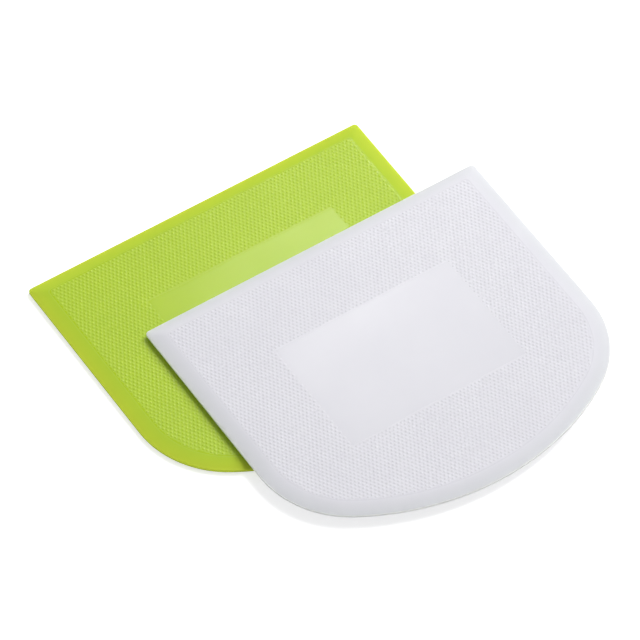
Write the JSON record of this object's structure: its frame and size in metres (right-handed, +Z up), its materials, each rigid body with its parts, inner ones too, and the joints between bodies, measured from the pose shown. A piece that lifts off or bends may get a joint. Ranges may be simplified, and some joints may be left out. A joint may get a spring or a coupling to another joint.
{
  "type": "dough scrapers",
  "caption": "Flat D-shaped plastic dough scrapers, lime green under white, offset in a stack. Each has a straight edge, a bowed edge, a thin smooth border and a dotted grip field.",
  "frame": {"origin": "on the table under the middle of the pair's bounding box", "axes": "+X along the straight edges, +Y towards the straight edges, +Z up out of the table"},
  "size_m": [0.1402, 0.1392, 0.0049],
  "materials": {
    "green_plastic": "satin moulded polypropylene, lime green, smooth border and panel, fine dotted grip field",
    "white_plastic": "satin moulded polypropylene, milk white, smooth border and panel, fine dotted grip field"
  },
  "bodies": {
    "green_scraper": {"green_scraper": "green_plastic"},
    "white_scraper": {"white_scraper": "white_plastic"}
  },
  "joints": [
    {"name": "white_lift", "type": "slide", "parent": "green_scraper", "child": "white_scraper", "axis": [0, 0, 1], "range_m": [0, 0.12]}
  ]
}
